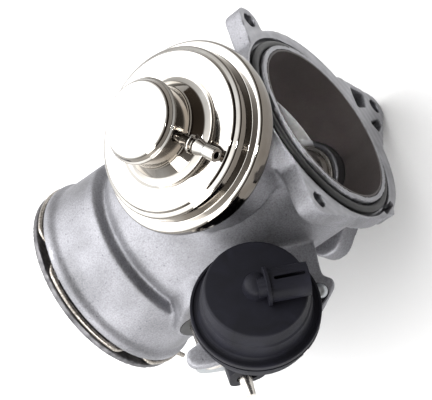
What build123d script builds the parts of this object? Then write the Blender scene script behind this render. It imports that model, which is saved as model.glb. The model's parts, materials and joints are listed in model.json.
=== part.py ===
from build123d import *
from math import cos, radians, sin
import os

# EGR valve with an intake throttle, in millimetres.
# The origin is the centre of the manifold bore at its mouth.
# X leaves the flange along the pipe, Z runs up the vacuum can, and the actuator stands on the -Y side.
os.makedirs("parts", exist_ok=True)

# ---- fits ---------------------------------------------------------------------------------------
FIT = 0.03          # radial clearance of a shaft or stem in its bush
PLAY = 0.3          # gap between pieces that move past each other
RING_LIFT = 0.1     # gap left at a seat or clip that only just touches

# ---- pipe and flanges ---------------------------------------------------------------------------
PIPE_L = 102.0      # manifold mouth to inlet rim
BODY_R = 32.0       # outside of the pipe body
BORE_R = 27.0       # throttle bore
WAIST_R = 29.4      # narrow waist behind the inlet collar
COLLAR_R = 33.3     # collar at its shoulder
COLLAR_RIM_R = 36.0 # collar at its rim
COLLAR_L = 26.0     # rim to the start of the shoulder
SHOULDER_L = 2.6    # length of the steep shoulder
RISE_L = 5.5        # waist back out to the body
SOCKET_R = 31.0     # hose socket in the collar
SOCKET_L = 14.0
LINER_WALL = 0.7
LINER_IN_R = 27.9   # dark lining of the manifold end
LINER_L = 19.0
MOUTH_L = 12.0      # the lining is widest over this length
LINER_TAPER = 0.4   # the lining narrows by this much on to its inner end
SPIGOT_H = 2.0      # ring round the mouth, proud of the bolting face
FLANGE_T = 7.0
FLANGE_R = 37.0
FLANGE_MID = (2.1, -3.5)    # the flange's round is off the bore's centre, in (Y, Z)
FLANGE_WALL = 1.0   # least wall outside the seal groove
FLANGE_TOP = 35.4   # flange is cut flat under the can
FLARE_L = 7.0
BOLT_R = 2.7        # clearance hole for an M5 bolt
TOP_EAR = (37.7, 18.7)      # bolt centres in (Y, Z)
SIDE_EAR = (22.9, -49.2)
LOW_EAR = (-34.3, 22.7)
EAR_R = 5.2
SEAL_CORD_R = 1.5
SEAL_R = 31.9       # centre line of the manifold O-ring
SEAL_GROOVE_T = 2.0
SEAL_SLACK = 1.2    # room outside the ring for it to spread into

# ---- inlet clip ---------------------------------------------------------------------------------
WIRE_R = 0.9
GROOVE_R = 34.2
GROOVE_W = 2.6
RIM_W = 2.2
BEAD_W = 2.6
CLIP_R = GROOVE_R + WIRE_R + PLAY
CLIP_SLOTS = (-4.0, 86.0, 171.0)    # degrees from +Y towards +Z
CLIP_HALF = 16.0                    # half angle of each dip
CLIP_DIP = 4.8                      # the wire dips inwards this far, into the socket
CLIP_START = -115.0
CLIP_END = 215.0
CLIP_TAIL = 3.0                     # the bent ends stand out this far

# ---- vacuum can ---------------------------------------------------------------------------------
CAN_X = -26.8
SEAT_Z = 36.0       # top of the cast seat that carries the can
SEAT_R = 25.0
SEAT_TAPER = -8.0
SEAT_H = 12.0
CAN_R = 31.0        # crimped rim
SHELL_R = 30.0      # lower shell
SHELL_ROUND = 2.2
SHELL_T = 0.9
CAN_LOW_H = 7.3     # seat to the top face of the lower shell's clamped flange
RUBBER_T = 1.0
NECK_R = 12.6
CAP_R = 13.6
CAN_H = 31.2        # seat to the top of the cap
CAP_T = 2.2         # cap above the end of the neck
CAP_SKIRT = 1.6     # cap down past the end of the neck
BELL_H = 7.6        # clamped rim to the crest of the shoulder
RIM_FLAT = 3.5      # flat of the crimped rim, outside the bell's wall
LEDGE_W = 1.4       # sloping ledge between the bell's wall and its shoulder
NIPPLE_ANGLE = -53.3
NIPPLE_DROP = 8.0   # below the end of the neck
NIPPLE_REACH = 26.6
NIPPLE_R = 2.15
NIPPLE_BORE_R = 1.1
NIPPLE_END_L = 4.3  # plain end that the hose is pushed over
STEM_R = 3.0
GUIDE_R = 5.0
GUIDE_BOTTOM = 22.0
SEAL_BOTTOM = 33.0
STEM_SEAL_R = 6.0
LIFT = 4.5          # a quarter of the port's diameter
PLATE_R = 20.0
PLATE_T = 0.9
STUD_R = 2.45
NUT_AF = 8.0
NUT_H = 4.0
CAN_SPRING_R = 9.0
CAN_WIRE_R = 0.9
CAN_TURNS = 7
CAN_SCREW_PCD_R = 14.0
CAN_SCREW_R = 2.0
CAN_SCREW_HEAD_R = 3.6
CAN_SCREW_HEAD_H = 1.2
CAN_SCREW_L = 6.5

# ---- exhaust port -------------------------------------------------------------------------------
PORT_R = 9.0
PORT_FACE = -42.0
PORT_FLANGE_T = 8.0
PORT_TUBE_R = 15.0
PORT_BOLT_R = 3.4   # tapping size of an M8 thread
PORT_TAP_L = 6.5
PORT_BOLT_SPAN = 36.1
PORT_EAR_R = 7.2
PORT_TURN = 68.6    # bolt line, degrees from +X
SEAT_RING_R = 12.0
SEAT_RING_H = 6.0
SEAT_RING_TOP = -22.5
PORT_BOSS_R = 14.0
POPPET_R = 10.6
POPPET_T = 2.0
POPPET_HUB_R = 5.0
POPPET_HUB_H = 2.0
RIVET_R = 2.2

# ---- throttle flap ------------------------------------------------------------------------------
SHAFT_X = -70.9
SHAFT_R = 4.5
FLAP_R = 26.6       # across the shaft
FLAP_LONG_R = 27.0  # along the flap
FLAP_T = 2.0
FLAP_SWING = 78.0
BUSH_R = 7.0
BOSS_R = 9.5
BOSS_Y = 36.0
BUSH_L = 6.0
SHAFT_SEAL_R = 8.0
SHAFT_SEAL_T = 3.0
PLUG_T = 2.0
FLAP_SCREW_Y = 11.0
FLAP_SCREW_R = 2.0
FLAP_SCREW_HEAD_R = 3.2
FLAP_SCREW_HEAD_H = 1.6
LEVER_T = 3.0
LEVER_Y = -48.0     # inner face of the lever
LEVER_R = 10.0      # shaft to crank pin
LEVER_HUB_R = 7.5
LEVER_EYE_R = 4.5
PIN_R = 2.4
PIN_TIP_R = 1.6
PIN_TAPER_L = 6.9

# ---- vacuum actuator ----------------------------------------------------------------------------
POT_CENTRE = (-34.5, -54.1, 26.0)   # centre of the rim's front edge
POT_LEAN = 51.2     # pot axis, degrees from +X towards +Z
POT_R = 20.3
POT_FACE_R = 15.8
POT_FACE_H = 12.9
POT_WALL = 1.5
POT_RIM_T = 2.2
POT_RUBBER_T = 0.8
POT_SHOULDER_R = 17.4
POT_BASE_R = 18.4
POT_BASE_H = 12.0
POT_LIP_H = 1.6
POT_NOTCHES = 12
NECK_BUSH_R = 5.0
NECK_BUSH_L = 5.0
ROD_R = 2.0
ROD_STRAIGHT = 18.5 # upper run below the base
ROD_JOG_L = 7.5
ACT_PLATE_R = 12.0
ACT_PLATE_T = 1.2
ACT_SPRING_R = 7.5
ACT_WIRE_R = 0.7
ACT_TURNS = 4
ROD_NUT_AF = 6.0
ROD_NUT_H = 2.4
YOKE_T = 5.0
YOKE_WALL = 2.5
YOKE_ROUND = 4.0
YOKE_TOP = 8.0
YOKE_PLAY = 0.45    # the slot lets the pin leave the rod's straight line
STUD_END_R = 1.6
BRACKET_T = 4.0
ARM_SCREWS = ((22.3, 2.6), (3.5, 21.3))   # in the pot's plane
SPARE_TAB = (-20.8, -4.9)
TAB_R = 3.6
BRACKET_END = 27.2
ARM_SCREW_R = 2.0
ARM_SCREW_HEAD_R = 2.6
LUG_R = 2.9
LUG_T = 2.0
ELBOW_TURN = -8.6
ELBOW_R = 5.1
ELBOW_LIFT = 3.1
ELBOW_PIPE_R = 1.9
ELBOW_WALL = 1.1
ELBOW_START = 2.8
ELBOW_END = 15.4
KNOB_R = 3.9
KNOB_H = 5.0
DISC_R = 5.9
DISC_T = 0.9

# ---- planes and derived places ------------------------------------------------------------------
INLET_X = -PIPE_L
FACE_X = -SPIGOT_H
BACK_X = FACE_X - FLANGE_T
SPIGOT_R = SEAL_R - SEAL_CORD_R
SEAL_OUT_R = SEAL_R + SEAL_CORD_R + SEAL_SLACK
LINER_R = LINER_IN_R + LINER_WALL
BUSH_CLEAR_R = SHAFT_R + FIT
STEM_CLEAR_R = STEM_R + FIT
RIM_Z = SEAT_Z + CAN_LOW_H
CAP_TOP = SEAT_Z + CAN_H
NECK_TOP = CAP_TOP - CAP_T
NIPPLE_Z = NECK_TOP - NIPPLE_DROP
PLATE_Z = RIM_Z - LIFT      # underside of the diaphragm plate with the valve shut
PLATE_TOP = PLATE_Z + PLATE_T
CLAMP_TOP = RIM_Z + RUBBER_T
POPPET_Z = SEAT_RING_TOP + RING_LIFT
face_plane = Plane.YZ.offset(FACE_X)
can_plane = Plane(origin=(CAN_X, 0, 0), x_dir=(1, 0, 0), z_dir=(0, -1, 0))
can_axis = Axis((CAN_X, 0, 0), (0, 0, 1))
port_turn = radians(PORT_TURN)
port_plane = Plane((CAN_X, 0, PORT_FACE), x_dir=(cos(port_turn), sin(port_turn), 0))
lean = radians(POT_LEAN)
pot = Plane(origin=POT_CENTRE, x_dir=(sin(lean), 0, -cos(lean)), z_dir=(cos(lean), 0, sin(lean)))
pot_side = Plane(origin=POT_CENTRE, x_dir=pot.x_dir, z_dir=-pot.y_dir)
pot_axis = Axis(POT_CENTRE, pot.z_dir)
half_swing = radians(FLAP_SWING / 2)
pin_step = pot.x_dir * (LEVER_R * cos(half_swing)) - pot.z_dir * (LEVER_R * sin(half_swing))
PIN_X = SHAFT_X + pin_step.X
PIN_Z = pin_step.Z
pin_local = pot.to_local_coords(Vector(PIN_X, POT_CENTRE[1], PIN_Z))
ROD_LINE = pin_local.X
PIN_DROP = pin_local.Z
PIN_SWEEP = LEVER_R * (1 - cos(half_swing))
PLATE_REST = -POT_BASE_H + POT_WALL + 1.0   # actuator plate above the base floor


def thin_wall(points, wall, radius):
    """Section of a thin shell: a filleted path down the middle of the wall."""
    with BuildLine() as middle:
        FilletPolyline(*points, radius=radius)
    trace(middle.edges(), line_width=wall)


def ring(inner, outer, low, high):
    """Rectangle of a ring's section, in a plane whose x is the radius."""
    with Locations(((inner + outer) / 2, (low + high) / 2)):
        Rectangle(outer - inner, high - low)


def hull(*discs):
    """Outline round a set of discs given as (centre, radius)."""
    with BuildSketch(mode=Mode.PRIVATE) as lugs:
        for centre, radius in discs:
            with Locations(centre):
                Circle(radius)
        make_hull(lugs.sketch.edges())
    add(lugs.sketch)


# ---- housing ------------------------------------------------------------------------------------
groove_start = INLET_X + RIM_W
groove_end = groove_start + GROOVE_W
bead_end = groove_end + BEAD_W
shoulder_x = INLET_X + COLLAR_L
waist_x = shoulder_x + SHOULDER_L
body_x = waist_x + RISE_L
flare_x = BACK_X - FLARE_L

with BuildPart() as housing:
    with BuildSketch(Plane.XZ):
        with BuildLine():
            Polyline(
                (BACK_X, 0), (INLET_X, 0), (INLET_X, COLLAR_RIM_R), (groove_start, COLLAR_RIM_R),
                (groove_start, GROOVE_R), (groove_end, GROOVE_R), (groove_end, COLLAR_RIM_R - 0.3),
                (bead_end, COLLAR_RIM_R - 0.3), (bead_end + 2, COLLAR_R + 0.6), (shoulder_x, COLLAR_R),
            )
            Bezier((shoulder_x, COLLAR_R), (waist_x - SHOULDER_L / 3, COLLAR_R),
                   (shoulder_x + SHOULDER_L / 3, WAIST_R), (waist_x, WAIST_R))
            Bezier((waist_x, WAIST_R), (waist_x + RISE_L / 3, WAIST_R),
                   (body_x - RISE_L / 3, BODY_R), (body_x, BODY_R))
            Line((body_x, BODY_R), (flare_x, BODY_R))
            Bezier((flare_x, BODY_R), (flare_x + FLARE_L / 2, BODY_R),
                   (BACK_X, BODY_R + 1), (BACK_X, FLANGE_TOP - 0.5))
            Line((BACK_X, FLANGE_TOP - 0.5), (BACK_X, 0))
        make_face()
    revolve(axis=Axis.X)

    with BuildSketch(face_plane):
        with Locations(FLANGE_MID):
            Circle(FLANGE_R)
        Circle(SEAL_OUT_R + FLANGE_WALL)
        hull((TOP_EAR, EAR_R), ((26.1, 18.0), 6.8))
        hull((SIDE_EAR, EAR_R), ((26.6, -30.5), 3.4), ((2.1, -37.1), 3.0))
        hull((LOW_EAR, EAR_R), ((-13.9, 24.5), 3.4), ((-30.9, 4.5), 6.0))
        with Locations((-26.3, -23.2)):
            Circle(3.6)
        with Locations((0, FLANGE_TOP + FLANGE_R / 2)):
            Rectangle(3 * FLANGE_R, FLANGE_R, mode=Mode.SUBTRACT)
    extrude(amount=-FLANGE_T)
    with BuildSketch(Plane.YZ):
        Circle(SPIGOT_R)
    extrude(amount=-SPIGOT_H)

    # cast seat of the can
    with BuildSketch(Plane.XY.offset(SEAT_Z)):
        with Locations((CAN_X, 0)):
            Circle(SEAT_R)
    extrude(amount=-SEAT_H, taper=SEAT_TAPER)

    # exhaust port on the far side from the can
    with BuildSketch(Plane.XY.offset(PORT_FACE)):
        with Locations((CAN_X, 0)):
            Circle(PORT_TUBE_R)
    extrude(amount=-PORT_FACE / 2)
    with BuildSketch(port_plane):
        hull(
            ((0, 0), PORT_TUBE_R + 0.5), ((PORT_BOLT_SPAN / 2, 0), PORT_EAR_R),
            ((-PORT_BOLT_SPAN / 2, 0), PORT_EAR_R),
        )
    extrude(amount=PORT_FLANGE_T)

    # bosses of the flap shaft; the near one runs on into a flat pad
    with BuildSketch(Plane.XZ.offset(BOSS_Y)):
        hull(((SHAFT_X, 0), BOSS_R), ((SHAFT_X + 8, 7), 9.0), ((SHAFT_X + 20, 2), 8.0))
    extrude(amount=-BOSS_Y / 3)
    with BuildSketch(Plane.XZ.offset(-BOSS_Y)):
        with Locations((SHAFT_X, 0)):
            Circle(BOSS_R)
    extrude(amount=BOSS_Y / 3)

    # bracket arms behind the actuator
    with BuildSketch(pot.offset(-POT_BASE_H - BRACKET_T)):
        with BuildLine():
            Polyline(
                (2, 28), (BRACKET_END, 27), (BRACKET_END, 19.8), (25.6, 9.0), (28.6, 6.6), (28.4, 4.2),
                (21.0, -3.0), (8, -9.5), (-19.5, -9.0), (-19.5, -0.2), (-10, 4), close=True,
            )
        make_face()
        with Locations(SPARE_TAB):
            Circle(TAB_R)
    extrude(amount=BRACKET_T)
    with BuildSketch(Plane(origin=pot.from_local_coords((14, 0, 0)), x_dir=pot.y_dir, z_dir=pot.x_dir)):
        with BuildLine():
            Polyline(
                (2, -POT_BASE_H - 1), (29, -POT_BASE_H - 1), (29, -36), (22, -36),
                (2, -POT_BASE_H - BRACKET_T), close=True,
            )
        make_face()
    extrude(amount=2.5, both=True)

    # bores
    for start, length, radius in (
        (INLET_X, SOCKET_L, SOCKET_R), (INLET_X, PIPE_L, BORE_R), (0, -LINER_L, LINER_R),
    ):
        with BuildSketch(Plane.YZ.offset(start)):
            Circle(radius)
        extrude(amount=length, mode=Mode.SUBTRACT)
    with BuildSketch(face_plane):
        Circle(SEAL_OUT_R)
        Circle(SPIGOT_R, mode=Mode.SUBTRACT)
    extrude(amount=-SEAL_GROOVE_T, mode=Mode.SUBTRACT)

    # only the spigot stands proud of the bolting face
    with BuildSketch(face_plane):
        Circle(2 * FLANGE_R)
        Circle(SPIGOT_R, mode=Mode.SUBTRACT)
    extrude(amount=2 * SPIGOT_H, mode=Mode.SUBTRACT)

    # raised boss of the valve seat and boss of the stem guide, both inside the bore
    with BuildSketch(Plane.XY.offset(SEAT_RING_TOP - 0.3)):
        with Locations((CAN_X, 0)):
            Circle(PORT_BOSS_R)
    extrude(amount=-8)
    with BuildSketch(Plane.XY.offset(GUIDE_BOTTOM)):
        with Locations((CAN_X, 0)):
            Circle(GUIDE_R + 2.5)
    extrude(amount=8)
    for top, depth, radius in (
        (SEAT_RING_TOP, -SEAT_RING_H, SEAT_RING_R),
        (SEAT_RING_TOP, PORT_FACE - SEAT_RING_TOP, PORT_R + 0.6),
        (SEAT_Z, GUIDE_BOTTOM - SEAT_Z, GUIDE_R), (SEAT_Z, SEAL_BOTTOM - SEAT_Z, STEM_SEAL_R),
    ):
        with BuildSketch(Plane.XY.offset(top)):
            with Locations((CAN_X, 0)):
                Circle(radius)
        extrude(amount=depth, mode=Mode.SUBTRACT)

    # shaft bores: bush, and a wider pocket at each outer end
    for side in (1, -1):
        with BuildSketch(Plane.XZ.offset(side * BOSS_Y)):
            with Locations((SHAFT_X, 0)):
                Circle(BUSH_R)
        extrude(amount=-side * BOSS_Y / 3, mode=Mode.SUBTRACT)
        with BuildSketch(Plane.XZ.offset(side * BOSS_Y)):
            with Locations((SHAFT_X, 0)):
                Circle(SHAFT_SEAL_R)
        extrude(amount=-side * SHAFT_SEAL_T, mode=Mode.SUBTRACT)

    # bolt holes of both flanges, ear pockets and the drain slit
    with BuildSketch(face_plane):
        with Locations(TOP_EAR, SIDE_EAR, LOW_EAR):
            Circle(BOLT_R)
    extrude(amount=-2 * FLANGE_T, mode=Mode.SUBTRACT)
    with BuildSketch(port_plane):
        with GridLocations(PORT_BOLT_SPAN, 1, 2, 1):
            Circle(PORT_BOLT_R)
    extrude(amount=PORT_TAP_L, mode=Mode.SUBTRACT)
    with BuildSketch(face_plane):
        with BuildLine():
            FilletPolyline((27.1, -35.5), (26.4, -43.9), (20.0, -41.3), (18.0, -34.7),
                           radius=0.8, close=True)
        make_face()
        with BuildLine():
            FilletPolyline((13.2, -39.6), (16.6, -47.5), (14.1, -48.0), (9.6, -43.1),
                           radius=0.8, close=True)
        make_face()
        with Locations(Location((-26.8, -23.5, 0), (0, 0, 124.7))):
            SlotCenterToCenter(8.5, 1.7)
    extrude(amount=-FLANGE_T + 2, mode=Mode.SUBTRACT)

    # neck hole and screw holes of the bracket
    with BuildSketch(pot.offset(-POT_BASE_H)):
        Circle(NECK_BUSH_R + PLAY)
        with Locations(*ARM_SCREWS):
            Circle(ARM_SCREW_R)
    extrude(amount=-BRACKET_T, mode=Mode.SUBTRACT)

    # tapped holes of the can's screws
    with BuildSketch(Plane.XY.offset(SEAT_Z)):
        with Locations((CAN_X, 0)):
            with PolarLocations(CAN_SCREW_PCD_R, 3):
                Circle(CAN_SCREW_R)
    extrude(amount=-CAN_SCREW_L, mode=Mode.SUBTRACT)

    # slots of the wire clip, through the collar wall at the bottom of its groove
    for angle in CLIP_SLOTS:
        middle = Vector(0, cos(radians(angle)), sin(radians(angle)))
        reach = CLIP_R - CLIP_DIP - WIRE_R - PLAY
        with BuildSketch(Plane(origin=middle * reach, x_dir=(1, 0, 0), z_dir=middle)):
            with Locations((groove_start + GROOVE_W / 2, 0)):
                Rectangle(GROOVE_W, 2 * CLIP_R * sin(radians(CLIP_HALF)) + 4 * WIRE_R)
        extrude(amount=COLLAR_RIM_R, mode=Mode.SUBTRACT)


# ---- lining and seal of the manifold end ---------------------------------------------------------
with BuildPart() as bore_liner:
    with BuildSketch(Plane.XZ):
        with BuildLine():
            Polyline(
                (0, LINER_IN_R), (0, LINER_R), (-LINER_L, LINER_R),
                (-LINER_L, LINER_IN_R - LINER_TAPER), (-MOUTH_L, LINER_IN_R), close=True,
            )
        make_face()
    revolve(axis=Axis.X)
    with BuildSketch(Plane.XY):
        with Locations((CAN_X, 0)):
            Circle(PORT_BOSS_R + PLAY)
    extrude(amount=-2 * LINER_R, mode=Mode.SUBTRACT)

with BuildPart() as manifold_o_ring:
    with BuildSketch(Plane.XZ):
        with Locations((FACE_X - SEAL_GROOVE_T + SEAL_CORD_R, SEAL_R)):
            Circle(SEAL_CORD_R)
    revolve(axis=Axis.X)

# ---- wire clip of the inlet ----------------------------------------------------------------------
clip_plane = Plane.YZ.offset(groove_start + GROOVE_W / 2)
clip_steps = 88


def on_clip(angle, extra=0.0):
    """Point of the clip's centre line: round the groove, with a dip through each slot."""
    radius = CLIP_R + extra
    for slot in CLIP_SLOTS:
        if abs(angle - slot) < CLIP_HALF:
            radius -= CLIP_DIP * (1 + cos(radians(180 * (angle - slot) / CLIP_HALF))) / 2
    return (radius * cos(radians(angle)), radius * sin(radians(angle)))


clip_angles = [CLIP_START + (CLIP_END - CLIP_START) * step / clip_steps for step in range(clip_steps + 1)]
with BuildPart() as retaining_clip:
    with BuildLine(clip_plane) as clip_line:
        Spline(on_clip(CLIP_START - 4, CLIP_TAIL), *[on_clip(angle) for angle in clip_angles],
               on_clip(CLIP_END + 4, CLIP_TAIL))
    with BuildSketch(Plane(clip_line.line @ 0, z_dir=clip_line.line % 0)):
        Circle(WIRE_R)
    sweep(path=clip_line.line)

# ---- exhaust valve -------------------------------------------------------------------------------
with BuildPart() as valve_seat:
    with BuildSketch(can_plane):
        with BuildLine():
            Polyline(
                (PORT_R, SEAT_RING_TOP - SEAT_RING_H), (SEAT_RING_R, SEAT_RING_TOP - SEAT_RING_H),
                (SEAT_RING_R, SEAT_RING_TOP), (PORT_R + 0.8, SEAT_RING_TOP), (PORT_R, SEAT_RING_TOP - 0.8),
                close=True,
            )
        make_face()
    revolve(axis=can_axis)

with BuildPart() as valve_poppet:
    with BuildSketch(can_plane):
        with BuildLine():
            Polyline(
                (RIVET_R, POPPET_Z - 1), (PORT_R - PLAY - 1, POPPET_Z - 1), (PORT_R - PLAY, POPPET_Z),
                (POPPET_R, POPPET_Z), (POPPET_R, POPPET_Z + POPPET_T - 0.6),
                (POPPET_R - 0.6, POPPET_Z + POPPET_T), (POPPET_HUB_R, POPPET_Z + POPPET_T),
                (POPPET_HUB_R - 1, POPPET_Z + POPPET_T + POPPET_HUB_H),
                (RIVET_R, POPPET_Z + POPPET_T + POPPET_HUB_H), close=True,
            )
        make_face()
    revolve(axis=can_axis)

stem_foot = POPPET_Z + POPPET_T + POPPET_HUB_H
with BuildPart() as valve_stem:
    with BuildSketch(can_plane):
        with BuildLine():
            Polyline(
                (0, POPPET_Z - 2), (RIVET_R + 0.9, POPPET_Z - 2), (RIVET_R + 0.9, POPPET_Z - 1),
                (RIVET_R, POPPET_Z - 1), (RIVET_R, stem_foot), (STEM_R, stem_foot), (STEM_R, PLATE_Z),
                (STUD_R, PLATE_Z), (STUD_R, PLATE_TOP + NUT_H + 1), (0, PLATE_TOP + NUT_H + 1), close=True,
            )
        make_face()
    revolve(axis=can_axis)

with BuildPart() as stem_guide:
    with BuildSketch(can_plane):
        ring(STEM_CLEAR_R, GUIDE_R, GUIDE_BOTTOM, SEAL_BOTTOM)
    revolve(axis=can_axis)

with BuildPart() as stem_seal:
    with BuildSketch(can_plane):
        ring(STEM_CLEAR_R, STEM_SEAL_R, SEAL_BOTTOM, SEAT_Z + SHELL_T + 0.6)
    revolve(axis=can_axis)

with BuildPart() as diaphragm_plate:
    with BuildSketch(can_plane):
        ring(STUD_R, PLATE_R, PLATE_Z, PLATE_TOP)
        ring(CAN_SPRING_R + 1.6, CAN_SPRING_R + 2.6, PLATE_TOP, PLATE_TOP + 1.5)
    revolve(axis=can_axis)

with BuildPart() as stem_nut:
    with BuildSketch(Plane.XY.offset(PLATE_TOP)):
        with Locations((CAN_X, 0)):
            RegularPolygon(NUT_AF / 2, 6, major_radius=False)
            Circle(STUD_R, mode=Mode.SUBTRACT)
    extrude(amount=NUT_H)

# ---- vacuum can ----------------------------------------------------------------------------------
half_wall = SHELL_T / 2
with BuildPart() as can_lower_shell:
    with BuildSketch(can_plane):
        thin_wall(
            (
                (STEM_SEAL_R + FIT, SEAT_Z + half_wall), (SHELL_R - half_wall, SEAT_Z + half_wall),
                (SHELL_R - half_wall, RIM_Z - half_wall), (CAN_R - 1, RIM_Z - half_wall),
            ), SHELL_T, (SHELL_ROUND, 0.3),
        )
    revolve(axis=can_axis)
    with BuildSketch(Plane.XY.offset(SEAT_Z)):
        with Locations((CAN_X, 0)):
            with PolarLocations(CAN_SCREW_PCD_R, 3):
                Circle(CAN_SCREW_R)
    extrude(amount=SHELL_T, mode=Mode.SUBTRACT)

with BuildPart() as can_screws:
    with BuildSketch(Plane.XY.offset(SEAT_Z + SHELL_T)):
        with Locations((CAN_X, 0)):
            with PolarLocations(CAN_SCREW_PCD_R, 3):
                Circle(CAN_SCREW_HEAD_R)
    extrude(amount=CAN_SCREW_HEAD_H)
    with BuildSketch(Plane.XY.offset(SEAT_Z + SHELL_T)):
        with Locations((CAN_X, 0)):
            with PolarLocations(CAN_SCREW_PCD_R, 3):
                Circle(CAN_SCREW_R)
    extrude(amount=0.5 - CAN_SCREW_L - SHELL_T)

with BuildPart() as can_diaphragm:
    with BuildSketch(can_plane):
        with BuildLine():
            Polyline(
                (PLATE_R, PLATE_Z), (CAN_R - 5.5, RIM_Z), (CAN_R - 1, RIM_Z), (CAN_R - 1, CLAMP_TOP),
                (CAN_R - 6, CLAMP_TOP), (PLATE_R, PLATE_TOP), close=True,
            )
        make_face()
    revolve(axis=can_axis)

nipple_dir = Vector(cos(radians(NIPPLE_ANGLE)), sin(radians(NIPPLE_ANGLE)), 0)
nipple_plane = Plane(origin=(CAN_X, 0, NIPPLE_Z), x_dir=nipple_dir, z_dir=nipple_dir.cross(Vector(0, 0, 1)))
nipple_axis = Axis((CAN_X, 0, NIPPLE_Z), nipple_dir)
bell_r = CAN_R - RIM_FLAT - half_wall
ledge_r = bell_r - LEDGE_W


def level(share):
    """Height in the upper shell, as a share of the way up to the crest of its shoulder."""
    return CLAMP_TOP + share * BELL_H


with BuildPart() as can_upper_shell:
    with BuildSketch(can_plane):
        thin_wall(
            (
                (NECK_R - half_wall, NECK_TOP), (NECK_R - half_wall, level(1.54)),
                (NECK_R + 2.4, level(1.07)), (NECK_R + 4.6, level(0.9)), (NECK_R + 6.2, level(1)),
                (ledge_r - half_wall, level(0.96)), (ledge_r, level(0.86)), (bell_r, level(0.77)),
                (bell_r, CLAMP_TOP + half_wall), (CAN_R - half_wall, CLAMP_TOP + half_wall),
                (CAN_R - half_wall, RIM_Z - 2 * SHELL_T),
            ), SHELL_T, 0.6,
        )
    revolve(axis=can_axis)
    with BuildSketch(Plane(origin=nipple_plane.origin, z_dir=nipple_dir)):
        Circle(NIPPLE_R)
    extrude(amount=CAP_R, mode=Mode.SUBTRACT)

cap_in_r = NECK_R + FIT
cap_in_z = NECK_TOP + FIT
cap_foot = NECK_TOP - CAP_SKIRT
with BuildPart() as can_cap:
    with BuildSketch(can_plane):
        with BuildLine():
            Line((0, cap_in_z), (0, CAP_TOP + 0.3))
            Bezier((0, CAP_TOP + 0.3), (CAP_R * 0.6, CAP_TOP + 0.3),
                   (CAP_R - 3, CAP_TOP + 0.1), (CAP_R - 2.4, CAP_TOP - 0.3))
            Bezier((CAP_R - 2.4, CAP_TOP - 0.3), (CAP_R - 1.2, CAP_TOP - 1.2), (CAP_R - 0.9, NECK_TOP))
            Polyline(
                (CAP_R - 0.9, NECK_TOP), (CAP_R, NECK_TOP - 0.5), (CAP_R, cap_foot + 0.5),
                (cap_in_r + 0.2, cap_foot), (cap_in_r, cap_foot), (cap_in_r, cap_in_z), (0, cap_in_z),
            )
        make_face()
    revolve(axis=can_axis)

NIPPLE_ROOT = NECK_R - SHELL_T
with BuildPart() as can_nipple:
    with BuildSketch(nipple_plane):
        with BuildLine():
            Polyline(
                (NIPPLE_ROOT, NIPPLE_BORE_R), (NIPPLE_ROOT, NIPPLE_R), (15.5, NIPPLE_R - 0.3),
                (15.9, NIPPLE_R + 0.9), (16.9, NIPPLE_R + 0.9), (17.1, NIPPLE_R - 0.3),
                (18.6, NIPPLE_R + 0.5), (19.2, NIPPLE_R + 0.5), (21.8, NIPPLE_R - 0.3),
                (NIPPLE_REACH - NIPPLE_END_L, NIPPLE_R),
                (NIPPLE_REACH - 0.3, NIPPLE_R), (NIPPLE_REACH, NIPPLE_R - 0.3),
                (NIPPLE_REACH, NIPPLE_BORE_R), close=True,
            )
        make_face()
    revolve(axis=nipple_axis)

can_spring_low = PLATE_TOP + CAN_WIRE_R + RING_LIFT
can_spring_high = NECK_TOP - CAN_WIRE_R
with BuildPart() as can_spring:
    with BuildLine(Plane((CAN_X, 0, can_spring_low))):
        can_coil_h = can_spring_high - can_spring_low
        coil = Helix(can_coil_h / CAN_TURNS, can_coil_h, CAN_SPRING_R)
    with BuildSketch(Plane(coil @ 0, z_dir=coil % 0)):
        Circle(CAN_WIRE_R)
    sweep(path=coil)

# ---- throttle flap -------------------------------------------------------------------------------
FLAT_Z = SHAFT_R - 0.7
with BuildPart() as flap_shaft:
    with BuildSketch(Plane.XZ.offset(-BOSS_Y + PLUG_T + PLAY)):
        with Locations((SHAFT_X, 0)):
            Circle(SHAFT_R)
    extrude(amount=BOSS_Y - PLUG_T - PLAY - LEVER_Y + LEVER_T)
    with BuildSketch(Plane.XZ.offset(-FLAP_R)):
        with Locations((SHAFT_X, 0)):
            Rectangle(3 * SHAFT_R, FLAP_T)
        with Locations((SHAFT_X, FLAT_Z + SHAFT_R / 2)):
            Rectangle(3 * SHAFT_R, SHAFT_R)
    extrude(amount=2 * FLAP_R, mode=Mode.SUBTRACT)
    with BuildSketch(Plane.XY):
        with Locations((SHAFT_X, FLAP_SCREW_Y), (SHAFT_X, -FLAP_SCREW_Y)):
            Circle(FLAP_SCREW_R)
    extrude(amount=2 * SHAFT_R, both=True, mode=Mode.SUBTRACT)

with BuildPart() as throttle_flap:
    with BuildSketch(Plane.XY.offset(-FLAP_T / 2)):
        with Locations((SHAFT_X, 0)):
            Ellipse(FLAP_LONG_R, FLAP_R)
        with Locations((SHAFT_X, FLAP_SCREW_Y), (SHAFT_X, -FLAP_SCREW_Y)):
            Circle(FLAP_SCREW_R, mode=Mode.SUBTRACT)
    extrude(amount=FLAP_T)

with BuildPart() as flap_screws:
    with BuildSketch(Plane.XY.offset(-SHAFT_R)):
        with Locations((SHAFT_X, FLAP_SCREW_Y), (SHAFT_X, -FLAP_SCREW_Y)):
            Circle(FLAP_SCREW_R)
    extrude(amount=SHAFT_R + FLAT_Z)
    with BuildSketch(Plane.XY.offset(FLAT_Z)):
        with Locations((SHAFT_X, FLAP_SCREW_Y), (SHAFT_X, -FLAP_SCREW_Y)):
            Circle(FLAP_SCREW_HEAD_R)
    extrude(amount=FLAP_SCREW_HEAD_H)

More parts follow.
